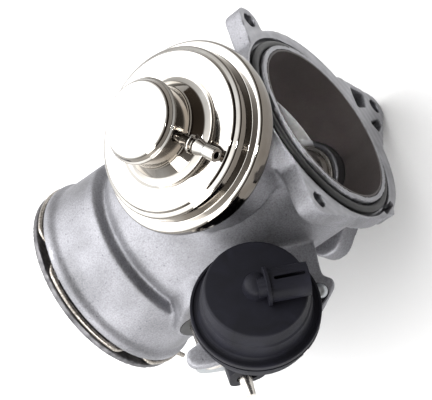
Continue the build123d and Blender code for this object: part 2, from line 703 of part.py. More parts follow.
bushes = []
for side in (1, -1):
    with BuildPart() as flap_bush:
        with BuildSketch(Plane.XZ.offset(side * (BOSS_Y - SHAFT_SEAL_T))):
            with Locations((SHAFT_X, 0)):
                Circle(BUSH_R)
                Circle(BUSH_CLEAR_R, mode=Mode.SUBTRACT)
        extrude(amount=-side * BUSH_L)
    bushes.append(flap_bush)
flap_bush_near, flap_bush_far = bushes

with BuildPart() as shaft_seal:
    with BuildSketch(Plane.XZ.offset(BOSS_Y)):
        with Locations((SHAFT_X, 0)):
            Circle(SHAFT_SEAL_R)
            Circle(BUSH_CLEAR_R, mode=Mode.SUBTRACT)
    extrude(amount=-SHAFT_SEAL_T)

with BuildPart() as shaft_plug:
    with BuildSketch(Plane.XZ.offset(-BOSS_Y)):
        with Locations((SHAFT_X, 0)):
            Circle(SHAFT_SEAL_R)
    extrude(amount=PLUG_T)

with BuildPart() as crank_lever:
    with BuildSketch(Plane.XZ.offset(-LEVER_Y)):
        hull(((SHAFT_X, 0), LEVER_HUB_R), ((PIN_X, PIN_Z), LEVER_EYE_R))
        with Locations((SHAFT_X, 0)):
            Circle(SHAFT_R, mode=Mode.SUBTRACT)
        with Locations((PIN_X, PIN_Z)):
            Circle(PIN_R, mode=Mode.SUBTRACT)
    extrude(amount=LEVER_T)

pin_base = -POT_CENTRE[1] + YOKE_T / 2
with BuildPart() as crank_pin:
    with BuildSketch(Plane.XZ.offset(-LEVER_Y)):
        with Locations((PIN_X, PIN_Z)):
            Circle(PIN_R)
    extrude(amount=pin_base + LEVER_Y)
    with BuildSketch(Plane.XZ.offset(pin_base)):
        with Locations((PIN_X, PIN_Z)):
            Circle(PIN_R)
    with BuildSketch(Plane.XZ.offset(pin_base + PIN_TAPER_L)):
        with Locations((PIN_X, PIN_Z)):
            Circle(PIN_TIP_R)
    loft()

# ---- actuator ------------------------------------------------------------------------------------
seam_top = -POT_RIM_T
seam_low = seam_top - POT_RUBBER_T
base_floor = -POT_BASE_H + POT_WALL
with BuildPart() as actuator_cover:
    with BuildSketch(pot_side):
        with BuildLine():
            Polyline(
                (0, POT_FACE_H), (POT_FACE_R - 0.8, POT_FACE_H), (POT_FACE_R, POT_FACE_H - 0.9),
                (POT_SHOULDER_R, 0.8), (POT_SHOULDER_R + 0.7, -0.5), (POT_R - 1.0, -0.5), (POT_R - 0.9, 0),
                (POT_R - 0.3, 0), (POT_R, -0.3), (POT_R, seam_top), (POT_SHOULDER_R - POT_WALL, seam_top),
                (POT_FACE_R - POT_WALL, POT_FACE_H - POT_WALL), (0, POT_FACE_H - POT_WALL), close=True,
            )
        make_face()
    revolve(axis=pot_axis)
    with BuildSketch(pot):
        Circle(NIPPLE_BORE_R)
    extrude(amount=POT_FACE_H, mode=Mode.SUBTRACT)

with BuildPart() as actuator_base:
    with BuildSketch(pot_side):
        with BuildLine():
            Polyline(
                (ROD_R + FIT, -POT_BASE_H - NECK_BUSH_L), (NECK_BUSH_R, -POT_BASE_H - NECK_BUSH_L),
                (NECK_BUSH_R, -POT_BASE_H), (POT_BASE_R - 1, -POT_BASE_H), (POT_BASE_R, -POT_BASE_H + 1),
                (POT_BASE_R, seam_low - POT_LIP_H), (POT_R - 0.2, seam_low - POT_LIP_H),
                (POT_R, seam_low - POT_LIP_H + 0.3),
                (POT_R, seam_low), (POT_BASE_R - POT_WALL, seam_low), (POT_BASE_R - POT_WALL, base_floor),
                (ROD_R + FIT, base_floor), close=True,
            )
        make_face()
    revolve(axis=pot_axis)
    with BuildSketch(pot.offset(-POT_BASE_H)):
        for spot in ARM_SCREWS:
            hull(((0, 0), POT_BASE_R - 4), (spot, LUG_R))
        Circle(POT_BASE_R - POT_WALL, mode=Mode.SUBTRACT)
        with Locations(*ARM_SCREWS):
            Circle(ARM_SCREW_R, mode=Mode.SUBTRACT)
    extrude(amount=LUG_T)
    with BuildSketch(pot.offset(seam_low - POT_LIP_H)):
        with PolarLocations(POT_R, POT_NOTCHES):
            Rectangle(1.6, 2.4)
    extrude(amount=POT_LIP_H - 0.5, mode=Mode.SUBTRACT)

with BuildPart() as actuator_diaphragm:
    with BuildSketch(pot_side):
        with BuildLine():
            Polyline(
                (ACT_PLATE_R, PLATE_REST), (POT_BASE_R - POT_WALL - 0.8, seam_low), (POT_R - 0.8, seam_low),
                (POT_R - 0.8, seam_top), (POT_BASE_R - POT_WALL - 1.6, seam_top),
                (ACT_PLATE_R, PLATE_REST + ACT_PLATE_T), close=True,
            )
        make_face()
    revolve(axis=pot_axis)

with BuildPart() as actuator_plate:
    with BuildSketch(pot_side):
        ring(STUD_END_R, ACT_PLATE_R, PLATE_REST, PLATE_REST + ACT_PLATE_T)
    revolve(axis=pot_axis)

with BuildPart() as actuator_rod:
    with BuildLine(pot_side) as rod_line:
        Polyline(
            (0, PLATE_REST), (0, -POT_BASE_H - ROD_STRAIGHT),
            (ROD_LINE, -POT_BASE_H - ROD_STRAIGHT - ROD_JOG_L), (ROD_LINE, PIN_DROP + YOKE_TOP / 2),
        )
        fillet(rod_line.vertices().group_by(Axis((0, 0, 0), pot.z_dir))[1:-1], radius=3)
    with BuildSketch(pot.offset(PLATE_REST)):
        Circle(ROD_R)
    sweep()
    with BuildSketch(pot.offset(PLATE_REST)):
        Circle(STUD_END_R)
    extrude(amount=ACT_PLATE_T + ROD_NUT_H + 0.8)

with BuildPart() as rod_nut:
    with BuildSketch(pot.offset(PLATE_REST + ACT_PLATE_T)):
        RegularPolygon(ROD_NUT_AF / 2, 6, major_radius=False)
        Circle(STUD_END_R, mode=Mode.SUBTRACT)
    extrude(amount=ROD_NUT_H)

spring_low = PLATE_REST + ACT_PLATE_T + ACT_WIRE_R + RING_LIFT
spring_high = POT_FACE_H - POT_WALL - ACT_WIRE_R - RING_LIFT
with BuildPart() as actuator_spring:
    with BuildLine():
        pot_coil_h = spring_high - spring_low
        pot_coil = Helix(pot_coil_h / ACT_TURNS, pot_coil_h, ACT_SPRING_R,
                         center=pot.from_local_coords((0, 0, spring_low)), direction=pot.z_dir)
    with BuildSketch(Plane(pot_coil @ 0, z_dir=pot_coil % 0)):
        Circle(ACT_WIRE_R)
    sweep(path=pot_coil)

slot_low = ROD_LINE - PIN_R - YOKE_PLAY
slot_high = ROD_LINE + PIN_SWEEP + PIN_R + YOKE_PLAY
slot_half = PIN_R + YOKE_PLAY
with BuildPart() as rod_yoke:
    with BuildSketch(pot_side.offset(-YOKE_T / 2)) as yoke_face:
        with Locations(((slot_low + slot_high) / 2, PIN_DROP + (YOKE_TOP - slot_half - YOKE_WALL) / 2)):
            Rectangle(slot_high - slot_low + 2 * YOKE_WALL, YOKE_TOP + slot_half + YOKE_WALL)
        fillet(yoke_face.vertices(), radius=YOKE_ROUND)
        with Locations(((slot_low + slot_high) / 2, PIN_DROP)):
            SlotOverall(slot_high - slot_low, 2 * slot_half, mode=Mode.SUBTRACT)
    extrude(amount=YOKE_T)
    with BuildSketch(pot.offset(PIN_DROP + YOKE_TOP)):
        with Locations((ROD_LINE, 0)):
            Circle(ROD_R)
    extrude(amount=-YOKE_TOP / 2, mode=Mode.SUBTRACT)

with BuildPart() as arm_screws:
    for spot in ARM_SCREWS:
        centre = pot.from_local_coords((spot[0], spot[1], -POT_BASE_H + LUG_T))
        with BuildSketch(Plane(origin=centre, x_dir=pot.x_dir, z_dir=-pot.y_dir)):
            with BuildLine():
                Line((0, -LUG_T - BRACKET_T - 1), (0, ARM_SCREW_HEAD_R * 0.75))
                Bezier((0, ARM_SCREW_HEAD_R * 0.75), (ARM_SCREW_HEAD_R * 0.6, ARM_SCREW_HEAD_R * 0.75),
                       (ARM_SCREW_HEAD_R, ARM_SCREW_HEAD_R * 0.4), (ARM_SCREW_HEAD_R, 0))
                Polyline((ARM_SCREW_HEAD_R, 0), (ARM_SCREW_R, 0), (ARM_SCREW_R, -LUG_T - BRACKET_T - 1),
                         (0, -LUG_T - BRACKET_T - 1))
            make_face()
        revolve(axis=Axis(centre, pot.z_dir))

elbow_plane = pot.rotated((0, 0, ELBOW_TURN))
elbow_side = Plane(origin=elbow_plane.from_local_coords((0, 0, POT_FACE_H + ELBOW_LIFT)),
                   x_dir=elbow_plane.x_dir, z_dir=-elbow_plane.y_dir)
elbow_axis = Axis(elbow_side.origin, elbow_plane.x_dir)
with BuildPart() as actuator_elbow:
    with BuildSketch(elbow_side):
        ring_low = ELBOW_R - ELBOW_WALL
        disc_start = ELBOW_START - 0.4
        with BuildLine():
            Polyline(
                (0, 0), (0, ELBOW_R - 2), (disc_start, ELBOW_R - 2), (disc_start, DISC_R),
                (disc_start + DISC_T, DISC_R), (disc_start + DISC_T, ELBOW_R),
                (ELBOW_END, ELBOW_R), (ELBOW_END, ring_low), (ELBOW_START + 2, ring_low),
                (ELBOW_START + 2, ELBOW_PIPE_R), (ELBOW_END - 1, ELBOW_PIPE_R),
                (ELBOW_END - 1, 0), close=True,
            )
        make_face()
    revolve(axis=elbow_axis)
    with BuildSketch(Plane(origin=elbow_side.origin, z_dir=elbow_plane.x_dir)):
        Circle(NIPPLE_BORE_R)
    extrude(amount=ELBOW_END, mode=Mode.SUBTRACT)
    with BuildSketch(pot_side):
        with BuildLine():
            Line((0, POT_FACE_H), (0, POT_FACE_H + KNOB_H))
            Bezier((0, POT_FACE_H + KNOB_H), (KNOB_R * 0.6, POT_FACE_H + KNOB_H),
                   (KNOB_R, POT_FACE_H + KNOB_H * 0.8), (KNOB_R, POT_FACE_H + KNOB_H * 0.45))
            Polyline((KNOB_R, POT_FACE_H + KNOB_H * 0.45), (KNOB_R + 0.3, POT_FACE_H), (0, POT_FACE_H))
        make_face()
    revolve(axis=pot_axis)
    with BuildSketch(pot.offset(POT_FACE_H)):
        Circle(NIPPLE_BORE_R)
    extrude(amount=ELBOW_LIFT, mode=Mode.SUBTRACT)
    with BuildSketch(elbow_plane.offset(POT_FACE_H + ELBOW_LIFT + ring_low - 1)):
        with Locations(((ELBOW_START + ELBOW_END) / 2 + 0.5, 0.4)):
            SlotOverall(ELBOW_END - ELBOW_START - 3, 1.2)
    extrude(amount=4, mode=Mode.SUBTRACT)
    split(bisect_by=pot.offset(POT_FACE_H), keep=Keep.TOP)

pieces = {
    "housing": housing, "bore_liner": bore_liner, "manifold_o_ring": manifold_o_ring,
    "retaining_clip": retaining_clip, "valve_seat": valve_seat, "valve_poppet": valve_poppet,
    "valve_stem": valve_stem, "stem_guide": stem_guide, "stem_seal": stem_seal,
    "diaphragm_plate": diaphragm_plate, "stem_nut": stem_nut, "can_lower_shell": can_lower_shell,
    "can_screws": can_screws, "can_diaphragm": can_diaphragm, "can_upper_shell": can_upper_shell,
    "can_cap": can_cap, "can_nipple": can_nipple, "can_spring": can_spring, "flap_shaft": flap_shaft,
    "throttle_flap": throttle_flap, "flap_screws": flap_screws, "flap_bush_near": flap_bush_near,
    "flap_bush_far": flap_bush_far, "shaft_seal": shaft_seal, "shaft_plug": shaft_plug,
    "crank_lever": crank_lever, "crank_pin": crank_pin, "actuator_cover": actuator_cover,
    "actuator_base": actuator_base, "actuator_diaphragm": actuator_diaphragm,
    "actuator_plate": actuator_plate, "actuator_rod": actuator_rod, "rod_nut": rod_nut,
    "actuator_spring": actuator_spring, "rod_yoke": rod_yoke, "arm_screws": arm_screws,
    "actuator_elbow": actuator_elbow,
}
for name, piece in pieces.items():
    piece.part.label = name
    export_step(piece.part, f"parts/{name}.step")
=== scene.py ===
import json
import math

import bmesh
import bpy
from mathutils import Matrix, Vector


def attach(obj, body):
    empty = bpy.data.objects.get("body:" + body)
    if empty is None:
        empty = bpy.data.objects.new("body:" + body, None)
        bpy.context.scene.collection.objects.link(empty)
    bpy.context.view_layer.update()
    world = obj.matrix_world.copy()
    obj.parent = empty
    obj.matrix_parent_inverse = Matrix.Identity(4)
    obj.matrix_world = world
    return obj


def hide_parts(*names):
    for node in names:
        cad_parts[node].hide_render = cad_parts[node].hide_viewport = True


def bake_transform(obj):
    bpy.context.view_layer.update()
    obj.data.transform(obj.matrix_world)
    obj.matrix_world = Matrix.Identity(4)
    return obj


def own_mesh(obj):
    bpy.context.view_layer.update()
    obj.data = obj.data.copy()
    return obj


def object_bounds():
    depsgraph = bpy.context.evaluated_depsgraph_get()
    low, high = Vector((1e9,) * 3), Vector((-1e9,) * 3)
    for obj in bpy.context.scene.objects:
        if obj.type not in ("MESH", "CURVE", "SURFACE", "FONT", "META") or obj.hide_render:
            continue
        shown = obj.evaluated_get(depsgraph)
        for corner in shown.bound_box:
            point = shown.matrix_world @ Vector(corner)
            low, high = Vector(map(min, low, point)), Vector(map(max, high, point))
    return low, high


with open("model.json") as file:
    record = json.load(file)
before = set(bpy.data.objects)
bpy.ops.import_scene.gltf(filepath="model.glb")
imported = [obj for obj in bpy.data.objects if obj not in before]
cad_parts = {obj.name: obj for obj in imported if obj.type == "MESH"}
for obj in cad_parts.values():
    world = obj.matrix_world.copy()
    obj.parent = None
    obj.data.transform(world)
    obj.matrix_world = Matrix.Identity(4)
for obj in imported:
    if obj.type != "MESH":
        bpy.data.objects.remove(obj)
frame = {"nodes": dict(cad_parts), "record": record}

cad_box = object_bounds()

# EGR valve with an intake throttle. Sizes are in millimetres and turned to metres by MM.
MM = 0.001

# ---- sizes shared with the CAD part --------------------------------------------------------------
PIPE_L = 102.0
LINER_L = 19.0
FACE_X = -2.0       # bolting face; the spigot round the mouth stands proud of it
FLANGE_T = 7.0
BOLT_R = 2.7
EARS = ((37.7, 18.7), (22.9, -49.2), (-34.3, 22.7))     # bolt centres in (Y, Z)
SEAL_R = 31.9
SEAL_CORD_R = 1.5
SEAL_GROOVE_T = 2.0
RIM_W = 2.2
GROOVE_W = 2.6
GROOVE_R = 34.2
WIRE_R = 0.9
CLIP_R = GROOVE_R + WIRE_R + 0.3
CLIP_SLOTS = (-4.0, 86.0, 171.0)
CLIP_HALF = 16.0
CLIP_DIP = 4.8
CLIP_START = -115.0
CLIP_END = 215.0
CLIP_TAIL = 3.0
CAN_X = -26.8
SEAT_Z = 36.0
SEAT_R = 25.0
CAN_R = 31.0
SHELL_R = 30.0
SHELL_T = 0.9
RIM_Z = 43.3
CLAMP_TOP = 44.3
BELL_R = 27.05
NECK_R = 12.6
NECK_TOP = 65.0
CAP_R = 13.6
CAP_TOP = 67.2
NIPPLE_ANGLE = -53.3
NIPPLE_Z = 57.0
NIPPLE_REACH = 26.6
NIPPLE_R = 2.15
NIPPLE_BORE_R = 1.1
STEM_SEAL_R = 6.0
PORT_FACE = -42.0
SEAT_RING_R = 12.0
SHAFT_X = -70.9
BOSS_R = 9.5
BOSS_Y = 36.0
SHAFT_SEAL_R = 8.0
POT_CENTRE = (-34.5, -54.1, 26.0)
POT_LEAN = 51.2
POT_R = 20.3
POT_FACE_R = 15.8
POT_FACE_H = 12.9
POT_WALL = 1.5
POT_RIM_T = 2.2
POT_SHOULDER_R = 17.4

# ---- sizes of the surface alone ------------------------------------------------------------------
BORED_R = 29.2          # inside this radius the pipe is machined
SOCKET_BORED_R = 31.4   # inside this radius the inlet socket is machined
SOCKET_X = -88.0        # inner end of the inlet socket
RIM_L = 6.5             # machined length outside the socket: rim, clip groove and its far wall
PORT_TOP = -20.0        # below this height the casting round the can's axis belongs to the port
CAST_VOXEL = 0.55       # grain of the casting's mesh
BLEND_STEPS = 26        # passes that run the casting's seams together
NECK_FOOT = 56.0        # height at which the neck starts to flare into the shoulder
SHOULDER_HOLLOW = 51.1  # bottom of the ring pressed round the neck
SHOULDER_CREST = 51.9
POT_STEP_H = 7.0        # small step round the actuator cover's wall

# ---- frames of the turned pieces, from their own x, y, z to the valve's --------------------------
lean = math.radians(POT_LEAN)
CAN_FRAME = Matrix.Translation((CAN_X, 0, 0))
PIPE_FRAME = Matrix(((0, 0, 1, 0), (1, 0, 0, 0), (0, 1, 0, 0), (0, 0, 0, 1)))
POT_FRAME = Matrix.Translation(POT_CENTRE) @ Matrix((
    (math.sin(lean), 0, math.cos(lean), 0), (0, 1, 0, 0),
    (-math.cos(lean), 0, math.sin(lean), 0), (0, 0, 0, 1),
))


# ---- mesh helpers --------------------------------------------------------------------------------
def rounded(points, radii, steps=6):
    """Closed section with each corner turned to an arc; radii is one number or one for each corner."""
    count = len(points)
    if isinstance(radii, (int, float)):
        radii = [radii] * count
    made = []
    for index, radius in enumerate(radii):
        corner = Vector(points[index])
        back = Vector(points[index - 1]) - corner
        ahead = Vector(points[(index + 1) % count]) - corner
        turn = math.pi - back.angle(ahead)
        reach = min(radius * math.tan(turn / 2), 0.48 * back.length, 0.48 * ahead.length)
        if reach < 1e-4:
            made.append(tuple(corner))
            continue
        handle = reach * 4 / 3 * math.tan(turn / 4) / math.tan(turn / 2)
        start = corner + back.normalized() * reach
        end = corner + ahead.normalized() * reach
        out = start - back.normalized() * handle
        home = end - ahead.normalized() * handle
        for step in range(steps + 1):
            t = step / steps
            s = 1 - t
            made.append(tuple(start * s**3 + out * 3 * s * s * t + home * 3 * s * t * t + end * t**3))
    return made


def wall_section(middle, wall, radii, steps=8):
    """Closed section of a pressed sheet: the rounded middle line, thickened to both sides."""
    line = rounded(middle, [0] + list(radii) + [0], steps)
    line = [p for i, p in enumerate(line) if i == 0 or (Vector(p) - Vector(line[i - 1])).length > 1e-4]
    left, right = [], []
    for index, point in enumerate(line):
        before = Vector(line[max(index - 1, 0)])
        after = Vector(line[min(index + 1, len(line) - 1)])
        along = (after - before).normalized()
        side = Vector((-along.y, along.x)) * wall / 2
        left.append(tuple(Vector(point) + side))
        right.append(tuple(Vector(point) - side))
    return left + right[::-1]


def new_piece(name, mesh, angle=32):
    """Object of a mesh, smooth but for edges sharper than the angle."""
    mesh.name = name
    mesh.shade_smooth()
    mesh.set_sharp_from_angle(angle=math.radians(angle))
    piece = bpy.data.objects.new(name, mesh)
    bpy.context.scene.collection.objects.link(piece)
    return piece


def tidy_mesh(build):
    """Mesh of a bmesh in millimetres, with its seams closed and its faces turned outwards."""
    bmesh.ops.remove_doubles(build, verts=build.verts, dist=1e-4)
    bmesh.ops.dissolve_degenerate(build, dist=1e-5, edges=build.edges)
    bmesh.ops.recalc_face_normals(build, faces=build.faces)
    mesh = bpy.data.meshes.new("piece")
    for vert in build.verts:
        vert.co *= MM
    build.to_mesh(mesh)
    build.free()
    return mesh


def turned(name, sections, where, sides=160, angle=32):
    """Lathe piece: each closed section of (radius, height) is turned about the frame's z axis."""
    build = bmesh.new()
    for section in sections:
        rows = []
        for step in range(sides):
            around = 2 * math.pi * step / sides
            spot = (math.cos(around), math.sin(around))
            rows.append([
                build.verts.new(where @ Vector((r * spot[0], r * spot[1], h))) for r, h in section
            ])
        for step in range(sides):
            here, there = rows[step], rows[(step + 1) % sides]
            for k in range(len(section)):
                m = (k + 1) % len(section)
                if section[k][0] < 1e-6 and section[m][0] < 1e-6:
                    continue
                build.faces.new((here[k], there[k], there[m], here[m]))
    return new_piece(name, tidy_mesh(build), angle)


def swept(name, path, radius, sides=20):
    """Round wire of a radius along a path of points, with its ends capped flat."""
    curve = bpy.data.curves.new(name, "CURVE")
    curve.dimensions = "3D"
    curve.bevel_depth = radius * MM
    curve.bevel_resolution = sides // 4
    curve.use_fill_caps = True
    spline = curve.splines.new("POLY")
    spline.points.add(len(path) - 1)
    for point, place in zip(spline.points, path):
        point.co = (place[0] * MM, place[1] * MM, place[2] * MM, 1)
    holder = bpy.data.objects.new(name, curve)
    mesh = bpy.data.meshes.new_from_object(holder)
    bpy.data.objects.remove(holder)
    return new_piece(name, mesh, 40)


def with_modifiers(piece):
    """Applies a piece's modifiers to its mesh."""
    bpy.context.view_layer.update()
    graph = bpy.context.evaluated_depsgraph_get()
    mesh = bpy.data.meshes.new_from_object(piece.evaluated_get(graph))
    piece.modifiers.clear()
    piece.data = mesh
    return piece


def softened(node, name, width, angle=35, segments=3):
    """Copy of a CAD node with its sharp edges broken by a small round."""
    mesh = frame["nodes"][node].data.copy()
    build = bmesh.new()
    build.from_mesh(mesh)
    bmesh.ops.remove_doubles(build, verts=build.verts, dist=2e-6)
    flat = [e for e in build.edges if len(e.link_faces) == 2 and e.calc_face_angle(0) < math.radians(1)]
    bmesh.ops.dissolve_edges(build, edges=flat, use_verts=True, use_face_split=False)
    build.to_mesh(mesh)
    build.free()
    piece = new_piece(name, mesh, angle)
    bevel = piece.modifiers.new("broken_edges", "BEVEL")
    bevel.width = width * MM
    bevel.segments = segments
    bevel.limit_method = "ANGLE"
    bevel.angle_limit = math.radians(angle)
    bevel.use_clamp_overlap = True
    bevel.harden_normals = True
    return with_modifiers(piece)


# ---- finishes ------------------------------------------------------------------------------------
def paint(code):
    """Linear colour of an sRGB hex value."""
    parts = [int(code[k:k + 2], 16) / 255 for k in (0, 2, 4)]
    return [c / 12.92 if c <= 0.04045 else ((c + 0.055) / 1.055) ** 2.4 for c in parts] + [1.0]


def add(tree, kind, settings=(), links=()):
    """Adds one node with its settings, by property or input, and its links, by input."""
    node = tree.nodes.new(kind)
    for key, value in dict(settings).items():
        if key == "ramp":
            stops = node.color_ramp.elements
            stops[0].position, stops[0].color = value[0]
            stops[1].position, stops[1].color = value[-1]
            for position, colour in value[1:-1]:
                stops.new(position).color = colour
        elif isinstance(key, int) or key in node.inputs:
            node.inputs[key].default_value = value
        else:
            setattr(node, key, value)
    for key, source in dict(links).items():
        tree.links.new(source, node.inputs[key])
    return node


def finish(name, colour, metallic, roughness, **more):
    """Material with one shader; a number or colour the same all over is set on its own socket."""
    material = bpy.data.materials.new(name)
    material.use_nodes = True
    tree = material.node_tree
    tree.nodes.clear()
    settings = {"Base Color": paint(colour), "Metallic": metallic, "Roughness": roughness, **more}
    shader = add(tree, "ShaderNodeBsdfPrincipled", settings)
    add(tree, "ShaderNodeOutputMaterial", {}, {"Surface": shader.outputs[0]})
    place = add(tree, "ShaderNodeTexCoord").outputs["Object"]
    return material, tree, shader, place


def per_mm(size):
    """Texture scale that gives features of a size in millimetres."""
    return 1000.0 / size


def shades(*stops):
    """Stops of a colour ramp, each a position and an sRGB hex value."""
    return [(position, paint(code)) for position, code in stops]


def coat(tree, shader, colour, rough=None, relief=None):
    """Links a finish's colour, and its roughness and relief where it has them, to its shader."""
    tree.links.new(colour, shader.inputs["Base Color"])
    if rough is not None:
        tree.links.new(rough.outputs["Result"], shader.inputs["Roughness"])
    if relief is not None:
        tree.links.new(relief.outputs["Normal"], shader.inputs["Normal"])


TIMES = {"data_type": "RGBA", "blend_type": "MULTIPLY", 0: 1.0}     # a mix that darkens by a second input

# Sand-cast aluminium, shot-blasted: an even satin grey with a fine salt-and-pepper grain, slow clouds
# of tone from the mould, small pits, creases darkened as painted shade, and arrises rubbed a little brighter.
cast_aluminium, tree, shader, place = finish("shot_blasted_cast_aluminium", "828286", 1.0, 0.6)
grain = add(tree, "ShaderNodeTexNoise", {"Scale": per_mm(0.55), "Detail": 3.0, "Roughness": 0.65},
            {"Vector": place})
clouds = add(tree, "ShaderNodeTexNoise", {"Scale": per_mm(14.0), "Detail": 2.0}, {"Vector": place})
pits = add(tree, "ShaderNodeTexVoronoi", {"Scale": per_mm(2.6)}, {"Vector": place})
edge = add(tree, "ShaderNodeNewGeometry").outputs["Pointiness"]
pit_mask = add(tree, "ShaderNodeMapRange", {"From Min": 0.05, "From Max": 0.13},
               {"Value": pits.outputs["Distance"]})
mould_tone = add(tree, "ShaderNodeValToRGB",
                 {"ramp": shades((0.3, "757578"), (0.5, "828286"), (0.7, "8c8c90"))},
                 {"Fac": clouds.outputs["Fac"]})
grain_tone = add(tree, "ShaderNodeMapRange",
                 {"From Min": 0.3, "From Max": 0.7, "To Min": 0.66, "To Max": 1.30},
                 {"Value": grain.outputs["Fac"]})
grained = add(tree, "ShaderNodeMix", TIMES, {6: mould_tone.outputs["Color"], 7: grain_tone.outputs["Result"]})
pitted = add(tree, "ShaderNodeMix", {"data_type": "RGBA", 6: paint("66656a")},
             {0: pit_mask.outputs["Result"], 7: grained.outputs[2]})
arris = add(tree, "ShaderNodeMapRange", {"From Min": 0.52, "From Max": 0.60, "To Max": 0.3}, {"Value": edge})
rubbed = add(tree, "ShaderNodeMix", {"data_type": "RGBA", 7: paint("b4b4b8")},
             {0: arris.outputs["Result"], 6: pitted.outputs[2]})
# Painted shade: the creases are darkened where the surface turns inwards.
hollow_shade = add(tree, "ShaderNodeMapRange", {"From Min": 0.40, "From Max": 0.48, "To Min": 0.42},
             {"Value": edge})
hollow_shaded = add(tree, "ShaderNodeMix", TIMES, {6: rubbed.outputs[2], 7: hollow_shade.outputs["Result"]})
rough = add(tree, "ShaderNodeMapRange", {"From Min": 0.3, "From Max": 0.7, "To Min": 0.52, "To Max": 0.70},
            {"Value": grain.outputs["Fac"]})
grain_relief = add(tree, "ShaderNodeBump", {"Strength": 0.6, "Distance": 0.18 * MM},
                   {"Height": grain.outputs["Fac"]})
relief = add(tree, "ShaderNodeBump", {"Strength": 0.35, "Distance": 0.2 * MM},
             {"Height": pit_mask.outputs["Result"], "Normal": grain_relief.outputs["Normal"]})
coat(tree, shader, hollow_shaded.outputs[2], rough, relief)

# The same casting where it is faced and bored: smoother, with the cutter's rings about the pipe's axis.
# A real feed leaves them about 0.1 mm apart; they are drawn 3.1 mm apart, so that they show. A wave
# pattern repeats every tau / 20 of its own unit.
faced_aluminium, tree, shader, place = finish("faced_cast_aluminium", "828286", 1.0, 0.4)
rings = add(tree, "ShaderNodeTexWave",
            {"wave_type": "RINGS", "rings_direction": "X", "Scale": per_mm(3.1416) * math.tau / 20,
             "Distortion": 0.6, "Detail": 1.0}, {"Vector": place})
stain = add(tree, "ShaderNodeTexNoise", {"Scale": per_mm(5.0), "Detail": 4.0}, {"Vector": place})
tone = add(tree, "ShaderNodeValToRGB", {"ramp": shades((0.3, "77777a"), (0.7, "8c8c90"))},
           {"Fac": stain.outputs["Fac"]})
rough = add(tree, "ShaderNodeMapRange", {"To Min": 0.30, "To Max": 0.42}, {"Value": rings.outputs["Fac"]})
relief = add(tree, "ShaderNodeBump", {"Strength": 0.2, "Distance": 0.05 * MM},
             {"Height": rings.outputs["Fac"]})
coat(tree, shader, tone.outputs["Color"], rough, relief)

# The bore beyond its lining: the same metal, painted a chalky light grey with sooty clouds; the light grey is
# painted light that stands in for the light reaching deep into the bore.
bore_painted_light, tree, shader, place = finish("bore_painted_light_aluminium", "c4c4c6", 0.2, 0.62)
soot = add(tree, "ShaderNodeTexNoise", {"Scale": per_mm(9.0), "Detail": 5.0}, {"Vector": place})
tone = add(tree, "ShaderNodeValToRGB", {"ramp": shades((0.35, "b2b2b4"), (0.65, "d0d0d2"))},
           {"Fac": soot.outputs["Fac"]})
coat(tree, shader, tone.outputs["Color"])

# The same metal round the inlet rim and the clip's groove: darker, in small patches.
rim_darker_aluminium, tree, shader, place = finish("darker_rim_aluminium", "5c5b5d", 1.0, 0.52)
rim_patches = add(tree, "ShaderNodeTexNoise", {"Scale": per_mm(2.5), "Detail": 4.0}, {"Vector": place})
tone = add(tree, "ShaderNodeValToRGB", {"ramp": shades((0.35, "4b4a4c"), (0.65, "6c6b6d"))},
           {"Fac": rim_patches.outputs["Fac"]})
coat(tree, shader, tone.outputs["Color"])

# Stoved dark bore coating: matt brown-grey in slow patches, with a dry fine tooth.
dark_lining, tree, shader, place = finish("stoved_bore_coating", "393332", 0.0, 0.7)
patches = add(tree, "ShaderNodeTexNoise", {"Scale": per_mm(6.0), "Detail": 4.0}, {"Vector": place})
tooth = add(tree, "ShaderNodeTexNoise", {"Scale": per_mm(0.5), "Detail": 2.0}, {"Vector": place})
tone = add(tree, "ShaderNodeValToRGB", {"ramp": shades((0.3, "352f2e"), (0.55, "393332"), (0.75, "3e3836"))},
           {"Fac": patches.outputs["Fac"]})
rough = add(tree, "ShaderNodeMapRange", {"To Min": 0.52, "To Max": 0.72}, {"Value": tooth.outputs["Fac"]})
relief = add(tree, "ShaderNodeBump", {"Strength": 0.35, "Distance": 0.1 * MM},
             {"Height": tooth.outputs["Fac"]})
coat(tree, shader, tone.outputs["Color"], rough, relief)

# Moulded nitrile rubber: near black, a low sheen, and a faint bloom of dust in patches.
seal_rubber, tree, shader, place = finish(
    "moulded_nitrile_rubber", "070707", 0.0, 0.5, **{"IOR": 1.52, "Specular IOR Level": 0.35})
bloom = add(tree, "ShaderNodeTexNoise", {"Scale": per_mm(4.0), "Detail": 5.0}, {"Vector": place})
skin = add(tree, "ShaderNodeTexNoise", {"Scale": per_mm(0.4), "Detail": 2.0}, {"Vector": place})
tone = add(tree, "ShaderNodeValToRGB", {"ramp": shades((0.4, "060606"), (0.75, "0e0e0d"))},
           {"Fac": bloom.outputs["Fac"]})
rough = add(tree, "ShaderNodeMapRange", {"To Min": 0.34, "To Max": 0.55}, {"Value": bloom.outputs["Fac"]})
relief = add(tree, "ShaderNodeBump", {"Strength": 0.25, "Distance": 0.06 * MM},
             {"Height": skin.outputs["Fac"]})
coat(tree, shader, tone.outputs["Color"], rough, relief)

# Drawn spring steel wire: grey in fine mottles from the die, with a half-bright sheen.
spring_wire, tree, shader, place = finish("drawn_spring_steel", "8f8a84", 1.0, 0.3)
mottle = add(tree, "ShaderNodeTexNoise", {"Scale": per_mm(0.7), "Detail": 4.0}, {"Vector": place})
tone = add(tree, "ShaderNodeValToRGB", {"ramp": shades((0.35, "6f6a64"), (0.55, "948e87"), (0.7, "b5b0a8"))},
           {"Fac": mottle.outputs["Fac"]})
rough = add(tree, "ShaderNodeMapRange", {"To Min": 0.22, "To Max": 0.42}, {"Value": mottle.outputs["Fac"]})
coat(tree, shader, tone.outputs["Color"], rough)

